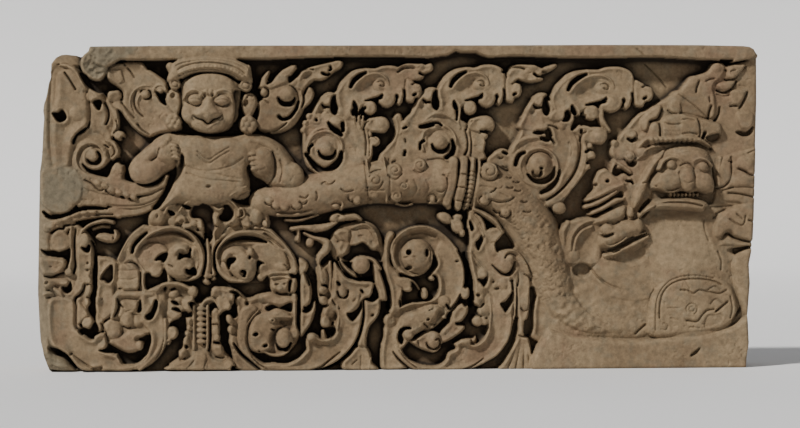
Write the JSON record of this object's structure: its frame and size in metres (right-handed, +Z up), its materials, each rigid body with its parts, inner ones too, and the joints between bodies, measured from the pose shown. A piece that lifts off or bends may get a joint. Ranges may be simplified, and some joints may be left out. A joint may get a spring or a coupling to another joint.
{
  "type": "carved door lintel",
  "caption": "Sandstone door lintel carved in relief: a bird-headed figure holds a many-headed serpent over scrolls of leaves and riders.",
  "frame": {"origin": "middle of the underside of the block's box", "axes": "+X along the lintel towards the serpent's heads, +Y from the carved face to the flat back, +Z up"},
  "size_m": [1.3726, 0.21, 0.617],
  "materials": {
    "sandstone": "weathered, matt, tan-brown with grey-green patina"
  },
  "bodies": {
    "root": {"lintel": "sandstone"}
  },
  "joints": []
}
